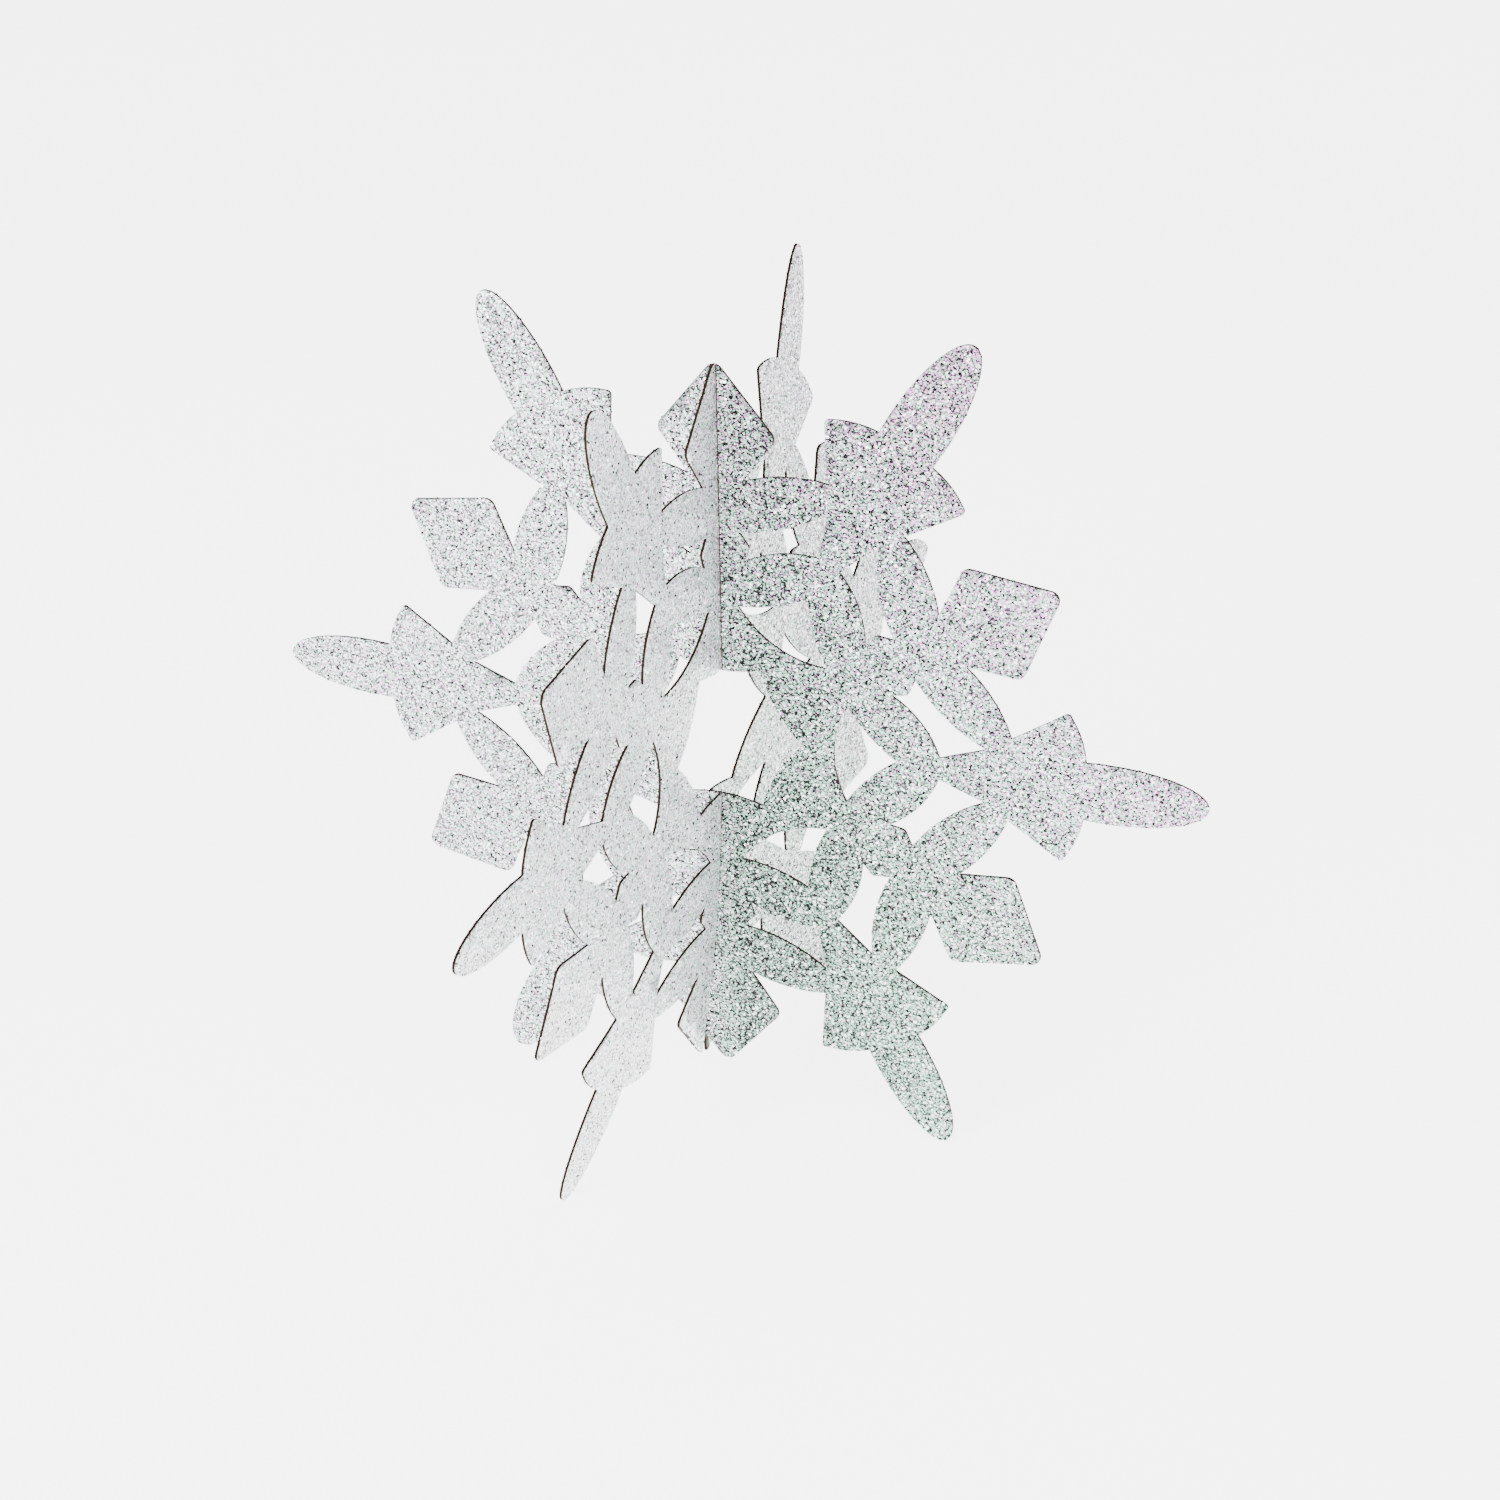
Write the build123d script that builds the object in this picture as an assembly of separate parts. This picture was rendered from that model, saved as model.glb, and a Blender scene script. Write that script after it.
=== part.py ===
from build123d import *
import os
from math import cos, hypot, pi, sin

# Slotted card snowflake, in millimetres.
#
# Two die-cut six-pointed flakes of the same outline cross at the middle and stand on the
# tips of their lowest leaves.  Each flake is a card of three plies: a dark board core with a
# thin glitter facing glued to either side.  The lower card has its slot open at the top, and
# the upper card, whose slot is open at the bottom, slides down over it.
#
# X runs along the lower card, Z runs up the line where the cards cross, and the origin is on
# the surface that the tips stand on, straight below that line.

# --- card ------------------------------------------------------------------------------
CORE_THICKNESS = 0.6        # dark board
FACING_THICKNESS = 0.1      # glitter film and its glue, on each side of the board
CROSSING_ANGLE = 83.0       # angle between the two cards, from +X towards +Y
SLOT_PLAY = 0.3             # what is left in a slot once the other card is in it

# --- arms: out along the arm, and half widths across it -------------------------------------
TIP_RADIUS = 133.5          # centre of the flake to the tip of a leaf
LEAF_ROOT_RADIUS = 80.1     # inner end of the leaf's ellipse, inside the fan
LEAF_WIDTH = 16.7
FAN_PEAK_RADIUS = 100.8     # where the two outer edges of the fan meet, inside the leaf
FAN_TIP_RADIUS = 95.7
FAN_HALF_WIDTH = 21.4
FAN_BULGE = 2.3             # rise of the fan's curved outer edge
FAN_TIP_ROUNDING = 1.1
FAN_ROOT_RADIUS = 81.0      # where the petal leaves the fan's straight lower edge
FAN_ROOT_HALF_WIDTH = 11.9
STEM_TOP_RADIUS = 74.5      # the stem joins the fan to the ring of inner petals
STEM_TOP_HALF_WIDTH = 7.75
STEM_FOOT_RADIUS = 61.8
STEM_FOOT_HALF_WIDTH = 3.2

# --- diamonds, halfway between the arms ---------------------------------------------------
DIAMOND_CORNER_RADIUS = 106.8
DIAMOND_SIDE_RADIUS = 86.5
DIAMOND_HALF_WIDTH = 16.7
DIAMOND_ROUNDING = 2.7
DIAMOND_ROOT_RADIUS = 74.2
DIAMOND_ROOT_HALF_WIDTH = 7.7

# --- petals and the small knots where four of them meet ------------------------------------
OUTER_PETAL_BULGE = 1.5     # rise of the outer petal's outer edge
WINDOW_BULGE = 1.9          # rise of the petal edges on either side of a side window
KNOT_OUTER_RADIUS = 59.7
KNOT_OUTER_HALF_WIDTH = 6.1
KNOT_RADIUS = 55.7
KNOT_HALF_WIDTH = 9.1
KNOT_ROUNDING = 1.6
KNOT_INNER_RADIUS = 51.4
KNOT_INNER_HALF_WIDTH = 7.5

# --- hub ------------------------------------------------------------------------------
HOLE_RADIUS = 23.7          # corners of the six-sided hole, on the arms
HOLE_BULGE = 1.8            # how far the sides of the hole bow inwards
HUB_WALL = 8.7              # card between a corner of the hole and an arm's window
WINDOW_CORNER_RADIUS = 36.0
WINDOW_HALF_WIDTH = 14.3
WINDOW_POINT_RADIUS = 50.1
WINDOW_SIDE_BULGE = 1.1

# --- worked out from the sizes above --------------------------------------------------------
ARM_COUNT = 6
STEP = 360 / ARM_COUNT
CARD_THICKNESS = CORE_THICKNESS + 2 * FACING_THICKNESS
CROSSING = CROSSING_ANGLE * pi / 180
SLOT_WIDTH = CARD_THICKNESS * (1 + abs(cos(CROSSING))) / sin(CROSSING) + SLOT_PLAY
SLOT_LENGTH = 1.1 * max(TIP_RADIUS, DIAMOND_CORNER_RADIUS)
LEAF_CENTRE = (TIP_RADIUS + LEAF_ROOT_RADIUS) / 2
LEAF_HALF_LENGTH = (TIP_RADIUS - LEAF_ROOT_RADIUS) / 2
HALF_STEP = STEP / 2 * pi / 180
LEAF_DEPTH = LEAF_CENTRE * cos(HALF_STEP) + hypot(
    LEAF_HALF_LENGTH * cos(HALF_STEP), LEAF_WIDTH / 2 * sin(HALF_STEP)
)
DIAMOND_EDGE = hypot(DIAMOND_CORNER_RADIUS - DIAMOND_SIDE_RADIUS, DIAMOND_HALF_WIDTH)
DIAMOND_DEPTH = DIAMOND_CORNER_RADIUS - DIAMOND_ROUNDING * (DIAMOND_EDGE / DIAMOND_HALF_WIDTH - 1)
CENTRE_HEIGHT = max(LEAF_DEPTH, DIAMOND_DEPTH)    # it stands on whichever reaches lower


def at(angle, out, across):
    """The point that lies out along a ray at this angle, and across to the ray's left."""
    return Vector(out, across).rotate(Axis.Z, angle)


def bowed(start, end, rise):
    """An arc from start to end that rises to the right of the way it runs."""
    return SagittaArc(start, end, -rise)


def arm_angles():
    """The arms' angles from the flake's own X axis.  Diamonds stand on the vertical axis."""
    return [STEP * turn for turn in range(ARM_COUNT)]


def outline():
    """The flake without its leaves and windows, as one closed face."""
    edges = []
    for arm in arm_angles():
        before = arm - STEP / 2
        after = arm + STEP / 2
        start = at(before, DIAMOND_ROOT_RADIUS, DIAMOND_ROOT_HALF_WIDTH)
        right_root = at(arm, FAN_ROOT_RADIUS, -FAN_ROOT_HALF_WIDTH)
        right_tip = at(arm, FAN_TIP_RADIUS, -FAN_HALF_WIDTH)
        peak = at(arm, FAN_PEAK_RADIUS, 0)
        left_tip = at(arm, FAN_TIP_RADIUS, FAN_HALF_WIDTH)
        left_root = at(arm, FAN_ROOT_RADIUS, FAN_ROOT_HALF_WIDTH)
        end = at(after, DIAMOND_ROOT_RADIUS, -DIAMOND_ROOT_HALF_WIDTH)
        edges += [
            bowed(start, right_root, OUTER_PETAL_BULGE),
            Line(right_root, right_tip),
            bowed(right_tip, peak, FAN_BULGE),
            bowed(peak, left_tip, FAN_BULGE),
            Line(left_tip, left_root),
            bowed(left_root, end, OUTER_PETAL_BULGE),
            Polyline(
                end,
                at(after, DIAMOND_SIDE_RADIUS, -DIAMOND_HALF_WIDTH),
                at(after, DIAMOND_CORNER_RADIUS, 0),
                at(after, DIAMOND_SIDE_RADIUS, DIAMOND_HALF_WIDTH),
                at(after, DIAMOND_ROOT_RADIUS, DIAMOND_ROOT_HALF_WIDTH),
            ),
        ]
    face = make_face(edges)
    face = fillet(corners(face, FAN_TIP_RADIUS, FAN_HALF_WIDTH, 0), FAN_TIP_ROUNDING)
    face = fillet(corners(face, DIAMOND_SIDE_RADIUS, DIAMOND_HALF_WIDTH, 0.5), DIAMOND_ROUNDING)
    return fillet(corners(face, DIAMOND_CORNER_RADIUS, 0, 0.5), DIAMOND_ROUNDING)


def corners(face, out, across, part_step):
    """The face's vertices at one place on every arm, or part of a step round from it."""
    places = []
    for arm in arm_angles():
        for side in (-1, 1):
            places.append(at(arm + part_step * STEP, out, side * across))
    return [v for v in face.vertices() if min((Vector(v) - p).length for p in places) < 0.01]


def leaves():
    """The six long rounded leaves."""
    ellipse = Ellipse(LEAF_HALF_LENGTH, LEAF_WIDTH / 2)
    return [Rot(0, 0, arm) * Pos(LEAF_CENTRE, 0) * ellipse for arm in arm_angles()]


def hub_hole():
    """The six-sided hole in the middle, which both cards share."""
    points = [at(arm, HOLE_RADIUS, 0) for arm in arm_angles()]
    sides = [bowed(points[i - 1], points[i], -HOLE_BULGE) for i in range(ARM_COUNT)]
    return make_face(sides)


def arm_window():
    """The window on an arm, between two inner petals and the hub."""
    point = at(0, WINDOW_POINT_RADIUS, 0)
    left = at(0, WINDOW_CORNER_RADIUS, WINDOW_HALF_WIDTH)
    right = at(0, WINDOW_CORNER_RADIUS, -WINDOW_HALF_WIDTH)
    inner = at(0, HOLE_RADIUS + HUB_WALL, 0)
    return make_face(
        [
            bowed(point, left, -WINDOW_SIDE_BULGE),
            ThreePointArc(left, inner, right),
            bowed(right, point, -WINDOW_SIDE_BULGE),
        ]
    )


def side_window():
    """The window left of an arm, between an outer and an inner petal, the stem and the knot."""
    half = STEP / 2
    stem_foot = at(0, STEM_FOOT_RADIUS, STEM_FOOT_HALF_WIDTH)
    stem_top = at(0, STEM_TOP_RADIUS, STEM_TOP_HALF_WIDTH)
    knot_outer = at(half, KNOT_OUTER_RADIUS, -KNOT_OUTER_HALF_WIDTH)
    knot = at(half, KNOT_RADIUS, -KNOT_HALF_WIDTH)
    knot_inner = at(half, KNOT_INNER_RADIUS, -KNOT_INNER_HALF_WIDTH)
    face = make_face(
        [
            Line(stem_foot, stem_top),
            bowed(stem_top, knot_outer, -WINDOW_BULGE),
            Polyline(knot_outer, knot, knot_inner),
            bowed(knot_inner, stem_foot, -WINDOW_BULGE),
        ]
    )
    rounded = [v for v in face.vertices() if (Vector(v) - knot).length < 0.01]
    return fillet(rounded, KNOT_ROUNDING)


def slot(direction):
    """The slot from the hole out through the diamond above (+1) or below (-1)."""
    return Pos(0, direction * SLOT_LENGTH / 2) * Rectangle(SLOT_WIDTH, SLOT_LENGTH)


def card_face(slot_direction):
    """A whole flake, flat on the drawing, with its slot up (+1) or down (-1)."""
    # the drawing's arms start on its X axis, so it is turned to put a diamond at the top
    upright = STEP / 2 + 90
    right_window = side_window()
    left_window = mirror(right_window, Plane.XZ)
    cuts = [hub_hole()]
    for arm in arm_angles():
        cuts += [Rot(0, 0, arm) * window for window in (arm_window(), right_window, left_window)]
    face = Sketch() + outline() + leaves() - cuts
    return Rot(0, 0, upright) * face - slot(slot_direction)


def ply(face, near, thickness, turn):
    """One ply: the flake, stood up, from near to near + thickness along the card's normal."""
    flat = extrude(face, amount=thickness)
    stood = Pos(0, 0, CENTRE_HEIGHT) * Rot(90, 0, 0) * Pos(0, 0, near) * flat
    return Rot(0, 0, turn) * stood


def card_plies(name, slot_direction, turn):
    """The three plies of one card, by node name.  The front facing is on the card's -Y side."""
    face = card_face(slot_direction)
    half_core = CORE_THICKNESS / 2
    return {
        name + "_board_core": ply(face, -half_core, CORE_THICKNESS, turn),
        name + "_front_glitter_facing": ply(face, half_core, FACING_THICKNESS, turn),
        name + "_back_glitter_facing": ply(face, -half_core - FACING_THICKNESS, FACING_THICKNESS, turn),
    }


nodes = card_plies("lower_card", 1, 0)
nodes.update(card_plies("upper_card", -1, CROSSING_ANGLE))

os.makedirs("parts", exist_ok=True)
for node_name, solid in nodes.items():
    export_step(solid, "parts/" + node_name + ".step")
    print(node_name, "volume", round(solid.volume, 1), "solids", len(solid.solids()))
print("flake centre is", round(CENTRE_HEIGHT, 2), "above the surface; slot is", round(SLOT_WIDTH, 2), "wide")
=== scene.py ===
# %% [markdown]
# # A slotted glitter-card snowflake
#
# The object is two flat die-cut cards that cross in a pair of slots and stand on four leaf tips.
# This script loads the measured model as a fixed frame, then gives it what a drawing can't:
# the bow of springy card, a glitter film that sparkles, and a little studio to see it in.

# %% Load the frame
from math import atan2, cos, radians, sin

import bmesh
import bpy
from mathutils import Matrix, Vector


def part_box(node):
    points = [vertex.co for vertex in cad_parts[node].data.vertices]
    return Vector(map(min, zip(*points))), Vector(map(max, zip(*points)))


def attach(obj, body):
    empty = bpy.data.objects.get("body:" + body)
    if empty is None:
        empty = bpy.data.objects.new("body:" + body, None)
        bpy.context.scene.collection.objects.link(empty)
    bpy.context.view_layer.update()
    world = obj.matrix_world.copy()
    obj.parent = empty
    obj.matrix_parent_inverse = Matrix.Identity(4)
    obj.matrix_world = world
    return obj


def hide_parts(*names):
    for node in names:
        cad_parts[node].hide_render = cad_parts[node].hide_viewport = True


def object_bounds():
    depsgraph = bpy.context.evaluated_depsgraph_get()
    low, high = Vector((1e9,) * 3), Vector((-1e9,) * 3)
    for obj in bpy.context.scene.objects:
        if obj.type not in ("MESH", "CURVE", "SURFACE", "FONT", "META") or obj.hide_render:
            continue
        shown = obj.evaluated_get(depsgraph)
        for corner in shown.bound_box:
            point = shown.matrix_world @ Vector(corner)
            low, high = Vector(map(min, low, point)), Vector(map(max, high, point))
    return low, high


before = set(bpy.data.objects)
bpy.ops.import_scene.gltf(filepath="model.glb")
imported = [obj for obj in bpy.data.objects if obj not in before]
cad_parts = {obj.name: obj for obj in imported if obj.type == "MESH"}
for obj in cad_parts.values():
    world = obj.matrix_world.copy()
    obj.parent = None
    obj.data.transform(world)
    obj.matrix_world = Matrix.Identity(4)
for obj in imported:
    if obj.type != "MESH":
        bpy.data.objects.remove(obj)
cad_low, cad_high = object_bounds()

# %% [markdown]
# Everything is placed from the frame.  The lower card runs tip to tip along X, so half its width
# is the radius of the flake, and the middle of its height is the middle of the flake.  The upper
# card crosses it at an angle that its box gives to a tenth of a degree.

# %% The flake's own measures
TIP_RADIUS = (cad_high.x - cad_low.x) / 2
CENTRE = Vector((0, 0, (cad_low.z + cad_high.z) / 2))
upper_low, upper_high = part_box("upper_card_board_core")
CROSSING = atan2(upper_high.y - upper_low.y, upper_high.x - upper_low.x)
ALONG = {"lower_card": Vector((1, 0, 0)), "upper_card": Vector((cos(CROSSING), sin(CROSSING), 0))}
FRONT = {card: Vector((along.y, -along.x, 0)) for card, along in ALONG.items()}
print("tip radius", round(TIP_RADIUS, 4), "centre height", round(CENTRE.z, 4))
print("crossing angle in radians", round(CROSSING, 3))

# %% [markdown]
# ## Camera
#
# The flake is looked down on a little, from the front and right of the lower card, through a
# portrait lens.  The aim is just off the middle of the flake, and the horizon is a degree out of
# level.  The camera's matrix is built from its three axes, so that the roll can be part of it.

# %% Camera
VIEW_AZIMUTH = radians(23.3)
VIEW_ELEVATION = radians(27.8)
VIEW_DISTANCE = 6.03 * TIP_RADIUS
VIEW_ROLL = radians(0.95)
AIM_RIGHT = 0.057 * TIP_RADIUS
AIM_DOWN = 0.044 * TIP_RADIUS
LENS = 71.6


def make_camera():
    """The camera, rolled about the line it looks along."""
    level = Vector((cos(VIEW_AZIMUTH), sin(VIEW_AZIMUTH), 0))
    back = Vector((sin(VIEW_AZIMUTH), -cos(VIEW_AZIMUTH), 0)) * cos(VIEW_ELEVATION)
    back.z = sin(VIEW_ELEVATION)
    place = CENTRE + back * VIEW_DISTANCE
    aim = CENTRE + level * AIM_RIGHT - Vector((0, 0, AIM_DOWN))
    behind = (place - aim).normalized()
    right = Vector((0, 0, 1)).cross(behind).normalized()
    up = behind.cross(right)
    rolled_right = right * cos(VIEW_ROLL) - up * sin(VIEW_ROLL)
    rolled_up = right * sin(VIEW_ROLL) + up * cos(VIEW_ROLL)
    camera = bpy.data.objects.new("camera", bpy.data.cameras.new("camera"))
    camera.data.lens = LENS
    turn = Matrix((rolled_right, rolled_up, behind)).transposed().to_4x4()
    camera.matrix_world = Matrix.Translation(place) @ turn
    bpy.context.scene.collection.objects.link(camera)
    bpy.context.scene.camera = camera


make_camera()
print("camera at", [round(value, 3) for value in bpy.context.scene.camera.matrix_world.translation])

# %% [markdown]
# ## Node graphs from Python
#
# Materials and node modifiers are both graphs.  One class holds a graph and adds any node to it,
# and one class wraps an output socket, so that a mask or a mix is written as plain arithmetic.


# %% Graph helpers
class Wire:
    """A node's output, which Python's operators can do number maths on."""

    def __init__(self, graph, socket):
        self.graph = graph
        self.socket = socket

    def maths(self, operation, first, second):
        """One step of arithmetic."""
        return self.graph.node("ShaderNodeMath", {"operation": operation}, {0: first, 1: second})

    def __add__(self, other):
        return self.maths("ADD", self, other)

    def __radd__(self, other):
        return self.maths("ADD", other, self)

    def __sub__(self, other):
        return self.maths("SUBTRACT", self, other)

    def __rsub__(self, other):
        return self.maths("SUBTRACT", other, self)

    def __mul__(self, other):
        return self.maths("MULTIPLY", self, other)

    def __rmul__(self, other):
        return self.maths("MULTIPLY", other, self)

    def __truediv__(self, other):
        return self.maths("DIVIDE", self, other)

    def __lt__(self, other):
        return self.maths("LESS_THAN", self, other)

    def __gt__(self, other):
        return self.maths("GREATER_THAN", self, other)


class Graph:
    """A node tree, and the one way that this script adds nodes to it."""

    def __init__(self, tree):
        self.tree = tree

    def node(self, kind, settings=None, inputs=None, output=0):
        """Adds a node, makes its settings, feeds its sockets and returns one of its outputs."""
        made = self.tree.nodes.new(kind)
        for name, value in (settings or {}).items():
            if name == "stops":
                set_stops(made.color_ramp, value)
            else:
                setattr(made, name, value)
        for name, value in (inputs or {}).items():
            if isinstance(value, Wire):
                self.tree.links.new(value.socket, made.inputs[name])
            else:
                made.inputs[name].default_value = value
        return Wire(self, made.outputs[output]) if made.outputs else made

    def mix(self, factor, first, second, blend="MIX"):
        """A colour between two colours, or their product at factor one with blend MULTIPLY."""
        settings = {"data_type": "RGBA", "blend_type": blend}
        return self.node("ShaderNodeMix", settings, {0: factor, 6: first, 7: second}, 2)

    def dot(self, first, second):
        """How far one vector goes along another."""
        settings = {"operation": "DOT_PRODUCT"}
        return self.node("ShaderNodeVectorMath", settings, {0: first, 1: second}, "Value")

    def vector(self, operation, *operands):
        """One step of vector arithmetic."""
        return self.node("ShaderNodeVectorMath", {"operation": operation}, dict(enumerate(operands)))

    def scaled(self, vector, amount):
        """A vector made longer or shorter."""
        settings = {"operation": "SCALE"}
        return self.node("ShaderNodeVectorMath", settings, {0: vector, "Scale": amount})

    def size(self, value):
        """A number without its sign."""
        return self.node("ShaderNodeMath", {"operation": "ABSOLUTE"}, {0: value})

    def clamped(self, value):
        """A number kept between zero and one."""
        return self.node("ShaderNodeClamp", {}, {"Value": value})


def set_stops(ramp, stops):
    """Gives a colour ramp its stops, a list of (place, grey or colour)."""
    while len(ramp.elements) < len(stops):
        ramp.elements.new(0.5)
    for element, (place, colour) in zip(ramp.elements, stops):
        element.position = place
        element.color = colour if hasattr(colour, "__len__") else (colour, colour, colour, 1)


def new_material(name):
    """An empty material and its graph."""
    material = bpy.data.materials.new(name)
    material.use_nodes = True
    material.node_tree.nodes.clear()
    return material, Graph(material.node_tree)


def finish_material(graph, inputs):
    """Ends a material's graph in one Principled shader with these inputs."""
    shader = graph.node("ShaderNodeBsdfPrincipled", {}, inputs)
    graph.node("ShaderNodeOutputMaterial", {}, {"Surface": shader})


# %% [markdown]
# ## The board in the middle
#
# Between the two glitter films is a dark brown board.  It shows only where the die has cut it, as
# a thin line round every edge, but that line is what draws the whole snowflake.  Cut board is a
# stack of pressed fibres, so its colour and its bump are a fine noise.  Fibre has hardly any
# shine, and with the usual amount the edge would turn grey in a white studio.

# %% Board material
BOARD_DARK = (0.003, 0.002, 0.0015, 1)
BOARD_LIGHT = (0.022, 0.011, 0.006, 1)
FIBRE_LENGTH = 0.0012
FIBRE_RELIEF = 0.0001


def board_material():
    """Dark pressed board."""
    material, graph = new_material("dark_board")
    place = graph.node("ShaderNodeTexCoord", {}, {}, "Object")
    noise = {"Vector": place, "Scale": 1 / FIBRE_LENGTH, "Detail": 6.0}
    fibres = graph.node("ShaderNodeTexNoise", {}, noise)
    colour = graph.mix(fibres, BOARD_DARK, BOARD_LIGHT)
    relief = {"Height": fibres, "Strength": 0.4, "Distance": FIBRE_RELIEF}
    bump = graph.node("ShaderNodeBump", {}, relief)
    shader = {"Base Color": colour, "Normal": bump, "Roughness": 0.9, "Specular IOR Level": 0.1}
    finish_material(graph, shader)
    return material


# %% [markdown]
# ## The glitter film
#
# Glitter card is covered edge to edge with flakes half a millimetre wide.  Each one lies at its own
# small tilt, so it mirrors its own bit of the room: most look white, some look dark, and the coating
# on them turns a few green or violet.  A Voronoi pattern makes the flakes: every cell has one random
# colour, whose three channels pick the flake's tone, its hue and its gloss, and the same colour
# tilts the cell's normal.  A ramp turns the random number into a tone, so its stops say what share
# of the flakes is dark.  The dark tones are painted reflection: they stand in for flakes that mirror
# dark parts of the room.  The grey-to-white spread is the flakes' own tone.

# %% Flake tones
FLAKE = 0.00037
FLAKE_TILT = 0.45
# The near-black stops are painted reflection, flakes that mirror dark parts of the room.  The rest
# are the flakes' own tones.
FLAKE_TONES_AND_DARK_REFLECTIONS = [
    (0.0, 0.001),
    (0.13, 0.006),
    (0.19, 0.10),
    (0.33, 0.34),
    (0.62, 0.62),
    (0.78, 0.98),
]
GREEN_TINT = (0.60, 1.0, 0.80, 1)
VIOLET_TINT = (1.0, 0.55, 0.98, 1)
CLEAR = (0.97, 0.99, 1.0, 1)

# %% [markdown]
# The share of dark flakes and the share of tinted ones follow the place on the card.  On the lower
# card's right half the flakes are darker close to the slot and low down: this is painted shade, from
# the upper card standing in the light beside it.  There the flakes also turn green by the slot and
# violet towards the upper arm.  The tints are the film's own, but their spread is painted sheen, the
# iridescent colour that shifts with the angle of light and view.  The left half and the whole upper
# card are paler.  The ramp above is shifted by one number, and more of it means more dark flakes.
# The film's own cut edge is as dark as the board.  A hairline along each slot is painted as dark as
# the board too: it is painted shadow, the shade in the narrow gap between the two cards.

# %% Glitter film material
# width of the painted shadow along a slot
SLOT_SHADOW_WIDTH = 0.00095
SLOT_SIDE = {"lower_card": 1, "upper_card": -1}
HALF_CHANGE = 8.0    # how sharply one half's tone turns into the other's at the slot line
# The next two numbers set how fast the painted shade by the slot and low down fades.
SLOT_SHADE_FADE = 1.4      # how fast the dark zone by the slot fades, per radius
LOW_SHADE_FADE = 2.0      # how fast the dark zone low down fades, per radius
FLAT_SHARE = 0.3     # the share of flakes that are coated and not metal
METAL = 0.8


def film_material(name, card, darks_and_shade, tints):
    """Glitter film: dark and tinted flakes shared over its card, with painted shade, painted sheen
    and a painted slot shadow.
    """
    dark_left, dark_right, painted_slot_shade, painted_low_shade = darks_and_shade
    tinted_left, tinted_right = tints
    material, graph = new_material(name)
    place = graph.node("ShaderNodeTexCoord", {}, {}, "Object")
    flake = graph.node("ShaderNodeTexVoronoi", {}, {"Vector": place, "Scale": 1 / FLAKE}, "Color")
    tone, hue, gloss = [
        graph.node("ShaderNodeSeparateColor", {}, {"Color": flake}, channel)
        for channel in ("Red", "Green", "Blue")
    ]

    along = graph.dot(place, ALONG[card]) / TIP_RADIUS
    height = graph.node("ShaderNodeSeparateXYZ", {}, {0: place}, "Z")
    up = height / TIP_RADIUS - CENTRE.z / TIP_RADIUS
    right = graph.clamped(along * HALF_CHANGE + 0.5)
    # Painted shade: masks for the darker zones by the slot and low down on the right half.
    slot_shade_mask = graph.clamped(1 - along * SLOT_SHADE_FADE)
    low_shade_mask = graph.clamped(0.5 - up * LOW_SHADE_FADE) * (1 - along)
    # Painted sheen: on the right half the tinted flakes go from green by the slot to violet outward
    # and upward.  This stands in for iridescent colour that shifts with the angle of light and view.
    # The tints themselves are the film's own.
    violet_sheen_share = right * (along * 0.6 + up * 0.5 - 0.45) + 0.45
    painted_shade_inside = slot_shade_mask * (painted_slot_shade - dark_right) + low_shade_mask * painted_low_shade
    dark_share_and_shade = right * (painted_shade_inside + (dark_right - dark_left)) + dark_left
    tinted = hue < right * (tinted_right - tinted_left) + tinted_left

    grey = graph.node("ShaderNodeValToRGB", {"stops": FLAKE_TONES_AND_DARK_REFLECTIONS}, {"Fac": tone - dark_share_and_shade}, "Color")
    tint = graph.mix(tinted, CLEAR, graph.mix(gloss < violet_sheen_share, GREEN_TINT, VIOLET_TINT))
    colour = graph.mix(1.0, grey, tint, "MULTIPLY")

    normal = graph.node("ShaderNodeNewGeometry", {}, {}, "Normal")
    facing = graph.dot(normal, FRONT[card])
    cut = facing * facing < 0.5
    # Painted shadow: a dark hairline along the slot, where the gap between the cards is in shade.
    # The film's cut edge is the board's own colour.
    painted_slot_shadow = (graph.size(along) < SLOT_SHADOW_WIDTH / TIP_RADIUS) * (up * SLOT_SIDE[card] > 0)
    cut_edge_and_slot_shadow = graph.node("ShaderNodeMath", {"operation": "MAXIMUM"}, {0: cut, 1: painted_slot_shadow})
    colour = graph.mix(cut_edge_and_slot_shadow, colour, BOARD_LIGHT)

    lean = graph.scaled(graph.vector("SUBTRACT", flake, (0.5, 0.5, 0.5)), FLAKE_TILT)
    tilted = graph.vector("NORMALIZE", graph.vector("ADD", normal, lean))
    shader = {"Base Color": colour, "Normal": tilted, "Roughness": gloss * 0.25 + 0.2}
    shader["Metallic"] = (gloss > FLAT_SHARE) * (1 - cut_edge_and_slot_shadow) * METAL
    shader["Specular IOR Level"] = 0.2
    finish_material(graph, shader)
    return material


# %% [markdown]
# ## Bowed cards
#
# Cut card is never quite flat, and the part of a card beside its slot bends easily.  Each half of
# a card gets its own gentle bow, written as five terms in the place along the card and the height
# on it, both as shares of the radius: a dish, a twist, a bend of the slotted part, a swing about
# the slot line and a lean of the foot.  The lower card bows along Y.  The upper one slides along
# the lower card's face, so it bows along X, and the two never cut through each other.  The upper
# card's back half shows only through windows, and its terms are the least certain of the four.

# %% Bow of each half card
# half: dish, twist, bend of the slotted part, swing, lean of the foot
BOWS = {
    "lower_left": (0.017, -0.025, 0.056, 0.0, 0.0),
    "lower_right": (0.032, 0.057, 0.144, 0.0, 0.0),
    "upper_front": (-0.036, 0.071, 0.098, -0.011, 0.0),
    "upper_back": (0.052, 0.187, -0.209, -0.022, 0.236),
}
HALVES = {"lower_card": ("lower_left", "lower_right"), "upper_card": ("upper_front", "upper_back")}
BOW_DIRECTION = {"lower_card": Vector((0, 1, 0)), "upper_card": Vector((-1, 0, 0))}


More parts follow.
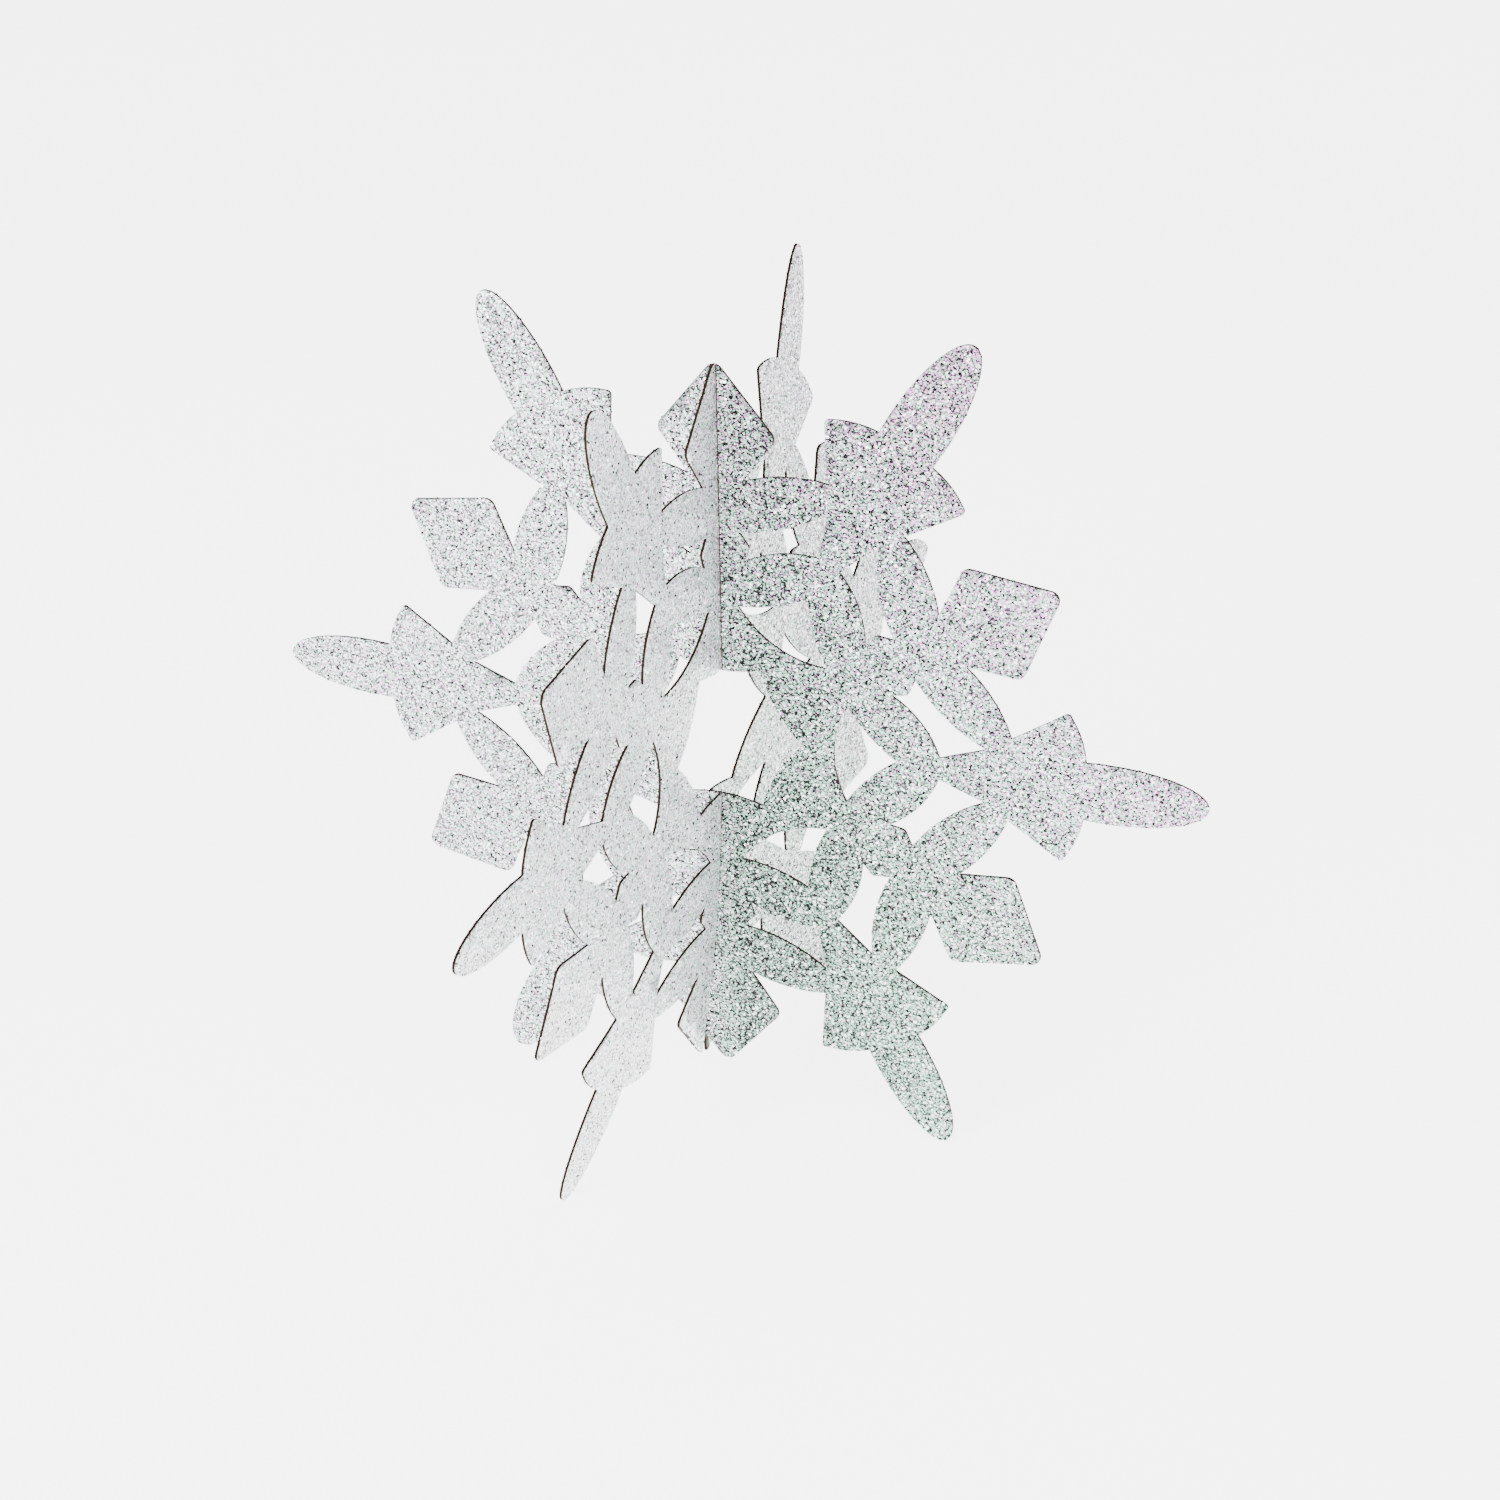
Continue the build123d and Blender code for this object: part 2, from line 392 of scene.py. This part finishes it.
def bow(card, point):
    """How far a point of a card is bent out of its flat place."""
    along = (point - CENTRE).dot(ALONG[card]) / TIP_RADIUS
    up = (point.z - CENTRE.z) / TIP_RADIUS
    dish, twist, bend, swing, lean = BOWS[HALVES[card][along > 0]]
    if card == "lower_card":
        slotted = along * along * up * up if up > 0 else 0
    else:
        slotted = up * up if up < 0 else 0
    amount = dish * along * along + twist * along * up + bend * slotted + swing * along
    amount += lean * max(0, -up)
    return BOW_DIRECTION[card] * amount * TIP_RADIUS


# %% [markdown]
# A flat face has no vertices to bend, so every ply is first cut by a grid of upright and level
# planes.  The cuts add vertices but change nothing, and then each vertex moves by the bow.

# %% Plies
GRID = 0.006
SHARP_ANGLE = radians(40)
SAME_POINT = 1e-6


def ply_mesh(node, card):
    """A copy of a flat ply, cut by a grid and bowed."""
    shape = bmesh.new()
    shape.from_mesh(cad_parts[node].data)
    bmesh.ops.remove_doubles(shape, verts=shape.verts, dist=SAME_POINT)
    steps = int(TIP_RADIUS / GRID)
    for step in range(-steps, steps + 1):
        for normal in (ALONG[card], Vector((0, 0, 1))):
            everything = [*shape.verts, *shape.edges, *shape.faces]
            place = CENTRE + normal * (step * GRID)
            plane = {"plane_co": place, "plane_no": normal}
            bmesh.ops.bisect_plane(shape, geom=everything, dist=1e-7, **plane)
    for vert in shape.verts:
        vert.co += bow(card, vert.co)
    mesh = bpy.data.meshes.new(node)
    shape.to_mesh(mesh)
    shape.free()
    mesh.shade_smooth()
    mesh.set_sharp_from_angle(angle=SHARP_ANGLE)
    return mesh


def add_piece(name, mesh, material, card):
    """Puts a mesh in the scene as a piece that moves with its card."""
    piece = bpy.data.objects.new(name, mesh)
    bpy.context.scene.collection.objects.link(piece)
    mesh.materials.clear()
    mesh.materials.append(material)
    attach(piece, card)
    return piece


# card: how dark left and right, how much painted shade by the slot and low down; how many tinted
# left and right
FILM_TONES = {
    "lower_card": ((0.07, 0.06, 0.28, 0.11), (0.36, 0.70)),
    "upper_card": ((-0.15, 0.06, 0.06, 0.0), (0.20, 0.25)),
}
board = board_material()
films = {}
for card, (darks_and_shade, tints) in FILM_TONES.items():
    films[card] = film_material(card.replace("card", "glitter_film"), card, darks_and_shade, tints)
pieces = {}
for card in ALONG:
    core = card + "_board_core"
    pieces[core] = add_piece(card + "_board", ply_mesh(core, card), board, card)
    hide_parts(core)
    for side in ("front", "back"):
        node = card + "_" + side + "_glitter_facing"
        name = card + "_" + side + "_film"
        pieces[node] = add_piece(name, ply_mesh(node, card), films[card], card)
        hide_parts(node)
        print(name, len(pieces[node].data.polygons), "faces")

# %% [markdown]
# ## Coarse flakes
#
# A few flakes are larger than the rest and stand up from the film, and they are the ones that
# flash.  There are thousands, so Geometry Nodes scatter them: points over the film's outer face,
# a six-sided flake on each, turned to the film's normal and then tilted at random.  Every flake
# stores one random number, which its material reads as its tone.  None lies close to the slot,
# where the other card would rub it off.

# %% Tree that scatters flakes
COARSE_FLAKE = 0.00036
COARSE_DENSITY = 420000.0
COARSE_TILT = radians(15)
COARSE_LIFT = 0.00006
SLOT_MARGIN = 0.002
FACES_OUT = 0.9


def flake_tree(material):
    """A node tree that replaces a film by coarse flakes lying on its outer face."""
    tree = bpy.data.node_groups.new("coarse_flakes", "GeometryNodeTree")
    sockets = {
        "Film": "NodeSocketGeometry",
        "Outward": "NodeSocketVector",
        "Along": "NodeSocketVector",
        "Slot margin": "NodeSocketFloat",
        "Density": "NodeSocketFloat",
        "Flake radius": "NodeSocketFloat",
        "Lift": "NodeSocketFloat",
        "Tilt": "NodeSocketFloat",
        "Seed": "NodeSocketInt",
    }
    for name, kind in sockets.items():
        tree.interface.new_socket(name, in_out="INPUT", socket_type=kind)
    tree.interface.new_socket("Flakes", in_out="OUTPUT", socket_type="NodeSocketGeometry")
    graph = Graph(tree)
    given = tree.nodes.new("NodeGroupInput")
    ask = {name: Wire(graph, given.outputs[name]) for name in sockets}

    facing = graph.dot(graph.node("GeometryNodeInputNormal"), ask["Outward"])
    along = graph.dot(graph.node("GeometryNodeInputPosition"), ask["Along"])
    clear = graph.size(along) > ask["Slot margin"]
    spread = {
        "Mesh": ask["Film"],
        "Selection": facing > FACES_OUT,
        "Density": ask["Density"] * clear,
        "Seed": ask["Seed"],
    }
    points = graph.node("GeometryNodeDistributePointsOnFaces", {}, spread, "Points")
    level = Wire(graph, points.socket.node.outputs["Rotation"])
    up = Wire(graph, points.socket.node.outputs["Normal"])

    back = ask["Tilt"] * -1
    low = graph.node("ShaderNodeCombineXYZ", {}, {"X": back, "Y": back, "Z": -3.14})
    high = graph.node("ShaderNodeCombineXYZ", {}, {"X": ask["Tilt"], "Y": ask["Tilt"], "Z": 3.14})
    between = {0: low, 1: high, "Seed": ask["Seed"]}
    tilt = graph.node("FunctionNodeRandomValue", {"data_type": "FLOAT_VECTOR"}, between, 0)
    local = {"rotation_space": "LOCAL"}
    turn = graph.node("FunctionNodeRotateRotation", local, {0: level, 1: tilt})
    between = {2: 0.6, 3: 1.2, "Seed": ask["Seed"]}
    size = graph.node("FunctionNodeRandomValue", {"data_type": "FLOAT"}, between, 1)
    hexagon = {"Vertices": 6, "Radius": ask["Flake radius"]}
    flake = graph.node("GeometryNodeMeshCircle", {"fill_type": "NGON"}, hexagon)
    raised = {"Geometry": points, "Offset": graph.scaled(up, ask["Lift"])}
    points = graph.node("GeometryNodeSetPosition", {}, raised)
    laid = {"Points": points, "Instance": flake, "Rotation": turn, "Scale": size}
    flakes = graph.node("GeometryNodeInstanceOnPoints", {}, laid)

    between = {2: 0.0, 3: 1.0, "Seed": ask["Seed"] + 1}
    tone = graph.node("FunctionNodeRandomValue", {"data_type": "FLOAT"}, between, 1)
    kept = {"Geometry": flakes, "Name": "flake_tone", "Value": tone}
    on_flakes = {"domain": "INSTANCE", "data_type": "FLOAT"}
    flakes = graph.node("GeometryNodeStoreNamedAttribute", on_flakes, kept)
    flakes = graph.node("GeometryNodeRealizeInstances", {}, {"Geometry": flakes})
    flakes = graph.node("GeometryNodeSetMaterial", {}, {"Geometry": flakes, "Material": material})
    graph.node("NodeGroupOutput", {}, {"Flakes": flakes})
    return tree


# %% [markdown]
# The flake itself is a mirror with a thin coating, so it is metallic and nearly smooth.  The stored
# number picks dark, tinted or clear.  The dark ones are painted reflection: black mirrors that stand
# in for flakes mirroring dark parts of the room.

# %% Coarse flake material
# The near-black stops are painted reflection, standing in for mirrors of dark parts of the room.
# The tinted and clear stops are the flakes' own colours.
COARSE_TONES_AND_DARK_REFLECTIONS = [
    (0.0, (0.005, 0.005, 0.005, 1)),
    (0.34, (0.010, 0.010, 0.010, 1)),
    (0.36, (0.45, 0.75, 0.55, 1)),
    (0.48, (0.80, 0.60, 0.80, 1)),
    (0.56, (0.97, 0.98, 1.0, 1)),
]


def coarse_flake_material():
    """Coated mirror flakes, each of one tone."""
    material, graph = new_material("coarse_flake")
    tone = graph.node("ShaderNodeAttribute", {"attribute_name": "flake_tone"}, {}, "Fac")
    colour = graph.node("ShaderNodeValToRGB", {"stops": COARSE_TONES_AND_DARK_REFLECTIONS}, {"Fac": tone}, "Color")
    finish_material(graph, {"Base Color": colour, "Metallic": 0.9, "Roughness": tone * 0.1 + 0.1})
    return material


# %% [markdown]
# Each film gets its own modifier with its own seed.  The sockets are set by identifier before the
# result is asked for, and then the result is kept as a plain mesh and the helper is thrown away.


# %% Scatter the coarse flakes
def scatter_flakes(film, tree, card, outward, seed):
    """A plain mesh of coarse flakes lying on a film."""
    carrier = bpy.data.objects.new("flake_carrier", film.data.copy())
    bpy.context.scene.collection.objects.link(carrier)
    modifier = carrier.modifiers.new("flakes", "NODES")
    modifier.node_group = tree
    values = {
        "Outward": outward,
        "Along": ALONG[card],
        "Slot margin": SLOT_MARGIN,
        "Density": COARSE_DENSITY,
        "Flake radius": COARSE_FLAKE,
        "Lift": COARSE_LIFT,
        "Tilt": COARSE_TILT,
        "Seed": seed,
    }
    for item in tree.interface.items_tree:
        if item.in_out == "INPUT" and item.name in values:
            modifier[item.identifier] = values[item.name]
    depsgraph = bpy.context.evaluated_depsgraph_get()
    mesh = bpy.data.meshes.new_from_object(carrier.evaluated_get(depsgraph))
    bpy.data.objects.remove(carrier)
    return mesh


coarse = coarse_flake_material()
tree = flake_tree(coarse)
for seed, card in enumerate(ALONG):
    for side, sign in (("front", 1), ("back", -1)):
        film = pieces[card + "_" + side + "_glitter_facing"]
        mesh = scatter_flakes(film, tree, card, FRONT[card] * sign, 10 * seed + sign + 1)
        flakes = add_piece(card + "_" + side + "_coarse_flakes", mesh, coarse, card)
        print(flakes.name, len(mesh.polygons), "flakes")

# %% [markdown]
# ## Studio
#
# White glitter on a white ground has only its dark edges and its grain to be seen by, so the light
# is broad, pale and nearly without shadows.  Three large softboxes shine from the right, from
# above and from low on the left, and a weak one from behind, which only the windows let through.
# The floor glows as well as reflects, so that it comes out white, and it lights the flake from
# below as a white table does.


# %% Studio
def add_light(name, place, size, power):
    """A square soft light that looks at the middle of the flake."""
    light = bpy.data.objects.new(name, bpy.data.lights.new(name, "AREA"))
    light.data.size = size
    light.data.energy = power
    light.location = place
    light.rotation_mode = "QUATERNION"
    light.rotation_quaternion = (Vector(place) - CENTRE).to_track_quat("Z", "Y")
    light.visible_camera = False
    bpy.context.scene.collection.objects.link(light)


add_light("right_front_softbox", (0.9, -1.0, 0.9), 0.8, 11)
add_light("overhead_softbox", (-0.3, -0.1, 1.4), 1.2, 13)
add_light("low_left_softbox", (-0.6, -1.4, 0.55), 0.9, 28)
add_light("low_back_softbox", (1.1, 1.3, 0.5), 0.7, 3)

FLOOR_HALF_WIDTH = 3.0
FLOOR_GLOW = 4.5
floor_mesh = bpy.data.meshes.new("floor")
floor_shape = bmesh.new()
bmesh.ops.create_grid(floor_shape, x_segments=1, y_segments=1, size=FLOOR_HALF_WIDTH)
floor_shape.to_mesh(floor_mesh)
floor_shape.free()
floor = bpy.data.objects.new("floor", floor_mesh)
bpy.context.scene.collection.objects.link(floor)
floor_material, floor_graph = new_material("pale_floor")
floor_shine = {"Emission Color": (1, 1, 1, 1), "Emission Strength": FLOOR_GLOW}
finish_material(floor_graph, {"Base Color": (0.9, 0.9, 0.9, 1), "Roughness": 0.8} | floor_shine)
floor_mesh.materials.append(floor_material)

world = bpy.data.worlds.new("studio")
world.use_nodes = True
world.node_tree.nodes["Background"].inputs["Color"].default_value = (1, 1, 1, 1)
world.node_tree.nodes["Background"].inputs["Strength"].default_value = 0.8
bpy.context.scene.world = world
print(len(bpy.data.lights), "lights, floor and world in place")
